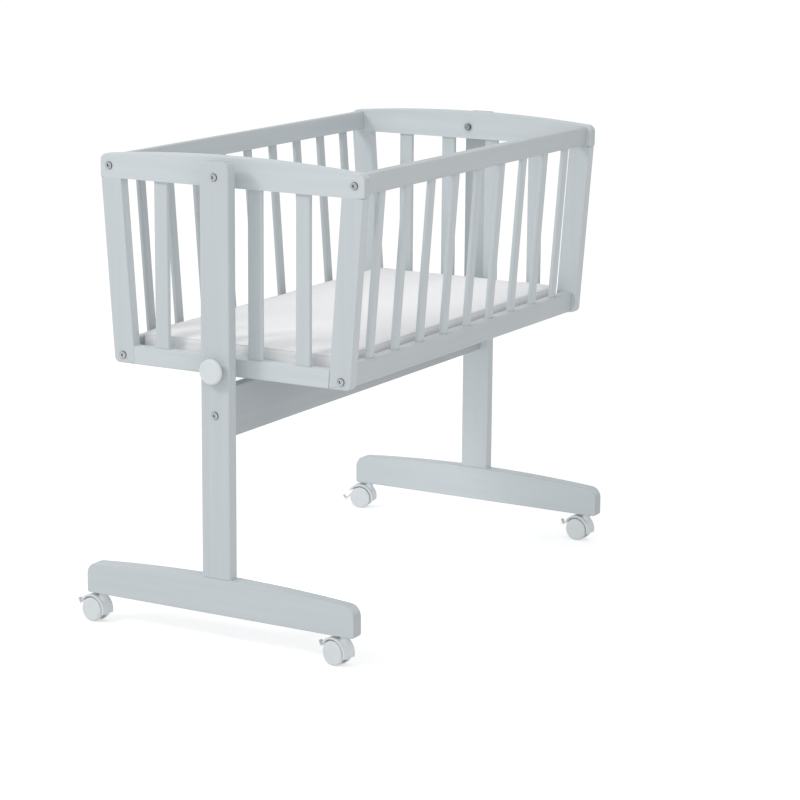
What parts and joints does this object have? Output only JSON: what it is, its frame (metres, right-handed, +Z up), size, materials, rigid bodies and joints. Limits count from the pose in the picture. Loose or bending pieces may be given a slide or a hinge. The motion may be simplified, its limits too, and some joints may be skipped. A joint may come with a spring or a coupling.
{
  "type": "swinging cradle on a castor stand",
  "caption": "Slatted wooden baby cradle that swings between two posts on a stand with lockable twin-wheel castors, with a locking screw and a mattress.",
  "frame": {"origin": "on the floor, midway between the two posts, under the swing axis", "axes": "+X along the cradle towards the end without the locking knob, +Y across it towards the side with the cradle's far long rail in the picture, +Z up"},
  "size_m": [0.9544, 0.5618, 0.815],
  "materials": {
    "painted_wood": "satin lacquer, pale blue-grey",
    "steel": "zinc-plated",
    "beech": "bare",
    "pale_plastic": "satin, pale grey",
    "cover": "woven cotton, white"
  },
  "bodies": {
    "stand": {"near_foot": "painted_wood", "far_foot": "painted_wood", "near_post": "painted_wood", "far_post": "painted_wood", "stretcher": "painted_wood", "stand_bolts": "steel", "stand_barrel_nuts": "steel", "foot_inserts": "steel", "stretcher_dowels": "beech", "castor_sockets": "pale_plastic", "pivot_bolts": "steel", "pivot_nuts": "steel", "pivot_spacers": "pale_plastic", "lock_insert": "steel"},
    "cradle": {"near_end_top_rail": "painted_wood", "near_end_bottom_rail": "painted_wood", "near_end_left_stile": "painted_wood", "near_end_right_stile": "painted_wood", "far_end_top_rail": "painted_wood", "far_end_bottom_rail": "painted_wood", "far_end_left_stile": "painted_wood", "far_end_right_stile": "painted_wood", "near_end_slats": "painted_wood", "far_end_slats": "painted_wood", "left_side_slats": "painted_wood", "right_side_slats": "painted_wood", "left_side_top_rail": "painted_wood", "left_side_bottom_rail": "painted_wood", "right_side_top_rail": "painted_wood", "right_side_bottom_rail": "painted_wood", "corner_bolts": "steel", "corner_barrel_nuts": "steel", "end_panel_dowels": "beech", "pivot_bushes": "pale_plastic", "bed_board": "painted_wood", "bed_cleats": "painted_wood", "mattress": "cover"},
    "lock_slider": {"lock_pad": "pale_plastic"},
    "lock_screw": {"lock_knob": "pale_plastic", "lock_stud": "steel"},
    "castor_near_left_swivel": {"castor_near_left_housing": "pale_plastic", "castor_near_left_stem_and_axle": "steel"},
    "castor_near_left_wheel_a": {"castor_near_left_wheel_a": "pale_plastic"},
    "castor_near_left_wheel_b": {"castor_near_left_wheel_b": "pale_plastic"},
    "castor_near_left_brake": {"castor_near_left_brake_lever": "pale_plastic"},
    "castor_near_right_swivel": {"castor_near_right_housing": "pale_plastic", "castor_near_right_stem_and_axle": "steel"},
    "castor_near_right_wheel_a": {"castor_near_right_wheel_a": "pale_plastic"},
    "castor_near_right_wheel_b": {"castor_near_right_wheel_b": "pale_plastic"},
    "castor_near_right_brake": {"castor_near_right_brake_lever": "pale_plastic"},
    "castor_far_left_swivel": {"castor_far_left_housing": "pale_plastic", "castor_far_left_stem_and_axle": "steel"},
    "castor_far_left_wheel_a": {"castor_far_left_wheel_a": "pale_plastic"},
    "castor_far_left_wheel_b": {"castor_far_left_wheel_b": "pale_plastic"},
    "castor_far_left_brake": {"castor_far_left_brake_lever": "pale_plastic"},
    "castor_far_right_swivel": {"castor_far_right_housing": "pale_plastic", "castor_far_right_stem_and_axle": "steel"},
    "castor_far_right_wheel_a": {"castor_far_right_wheel_a": "pale_plastic"},
    "castor_far_right_wheel_b": {"castor_far_right_wheel_b": "pale_plastic"},
    "castor_far_right_brake": {"castor_far_right_brake_lever": "pale_plastic"}
  },
  "joints": [
    {"name": "cradle_swing", "type": "hinge", "parent": "stand", "child": "cradle", "pos_m": [0, 0, 0.786], "axis": [1, 0, 0], "range_deg": [-12, 12]},
    {"name": "lock_travel", "type": "slide", "parent": "stand", "child": "lock_slider", "axis": [1, 0, 0], "range_m": [-0.01, 0]},
    {"name": "lock_turn", "type": "hinge", "parent": "lock_slider", "child": "lock_screw", "pos_m": [-0.4675, 0, 0.468], "axis": [1, 0, 0], "range_deg": [-2880, 0]},
    {"name": "castor_near_left_swivel", "type": "hinge", "parent": "stand", "child": "castor_near_left_swivel", "pos_m": [-0.4545, 0.241, 0.047], "axis": [0, 0, 1], "continuous": true},
    {"name": "castor_near_left_roll_a", "type": "hinge", "parent": "castor_near_left_swivel", "child": "castor_near_left_wheel_a", "pos_m": [-0.45311, 0.25694, 0.021], "axis": [0.9962, -0.0872, 0], "continuous": true},
    {"name": "castor_near_left_roll_b", "type": "hinge", "parent": "castor_near_left_swivel", "child": "castor_near_left_wheel_b", "pos_m": [-0.45311, 0.25694, 0.021], "axis": [0.9962, -0.0872, 0], "continuous": true},
    {"name": "castor_near_left_brake", "type": "hinge", "parent": "castor_near_left_swivel", "child": "castor_near_left_brake", "pos_m": [-0.45311, 0.25694, 0.021], "axis": [-0.9962, 0.0872, 0], "range_deg": [0, 20]},
    {"name": "castor_near_right_swivel", "type": "hinge", "parent": "stand", "child": "castor_near_right_swivel", "pos_m": [-0.4545, -0.241, 0.047], "axis": [0, 0, 1], "continuous": true},
    {"name": "castor_near_right_roll_a", "type": "hinge", "parent": "castor_near_right_swivel", "child": "castor_near_right_wheel_a", "pos_m": [-0.45145, -0.22529, 0.021], "axis": [0.9816, -0.1908, 0], "continuous": true},
    {"name": "castor_near_right_roll_b", "type": "hinge", "parent": "castor_near_right_swivel", "child": "castor_near_right_wheel_b", "pos_m": [-0.45145, -0.22529, 0.021], "axis": [0.9816, -0.1908, 0], "continuous": true},
    {"name": "castor_near_right_brake", "type": "hinge", "parent": "castor_near_right_swivel", "child": "castor_near_right_brake", "pos_m": [-0.45145, -0.22529, 0.021], "axis": [-0.9816, 0.1908, 0], "range_deg": [0, 20]},
    {"name": "castor_far_left_swivel", "type": "hinge", "parent": "stand", "child": "castor_far_left_swivel", "pos_m": [0.4545, 0.241, 0.047], "axis": [0, 0, 1], "continuous": true},
    {"name": "castor_far_left_roll_a", "type": "hinge", "parent": "castor_far_left_swivel", "child": "castor_far_left_wheel_a", "pos_m": [0.45172, 0.25676, 0.021], "axis": [0.9848, 0.1736, 0], "continuous": true},
    {"name": "castor_far_left_roll_b", "type": "hinge", "parent": "castor_far_left_swivel", "child": "castor_far_left_wheel_b", "pos_m": [0.45172, 0.25676, 0.021], "axis": [0.9848, 0.1736, 0], "continuous": true},
    {"name": "castor_far_left_brake", "type": "hinge", "parent": "castor_far_left_swivel", "child": "castor_far_left_brake", "pos_m": [0.45172, 0.25676, 0.021], "axis": [-0.9848, -0.1736, 0], "range_deg": [-20, 0]},
    {"name": "castor_far_right_swivel", "type": "hinge", "parent": "stand", "child": "castor_far_right_swivel", "pos_m": [0.4545, -0.241, 0.047], "axis": [0, 0, 1], "continuous": true},
    {"name": "castor_far_right_roll_a", "type": "hinge", "parent": "castor_far_right_swivel", "child": "castor_far_right_wheel_a", "pos_m": [0.45562, -0.22504, 0.021], "axis": [0.9976, -0.0698, 0], "continuous": true},
    {"name": "castor_far_right_roll_b", "type": "hinge", "parent": "castor_far_right_swivel", "child": "castor_far_right_wheel_b", "pos_m": [0.45562, -0.22504, 0.021], "axis": [0.9976, -0.0698, 0], "continuous": true},
    {"name": "castor_far_right_brake", "type": "hinge", "parent": "castor_far_right_swivel", "child": "castor_far_right_brake", "pos_m": [0.45562, -0.22504, 0.021], "axis": [-0.9976, 0.0698, 0], "range_deg": [0, 20]}
  ],
  "couplings": [
    {"joint": "lock_turn", "follows": "lock_travel", "rad_per_m": 5026.5}
  ]
}
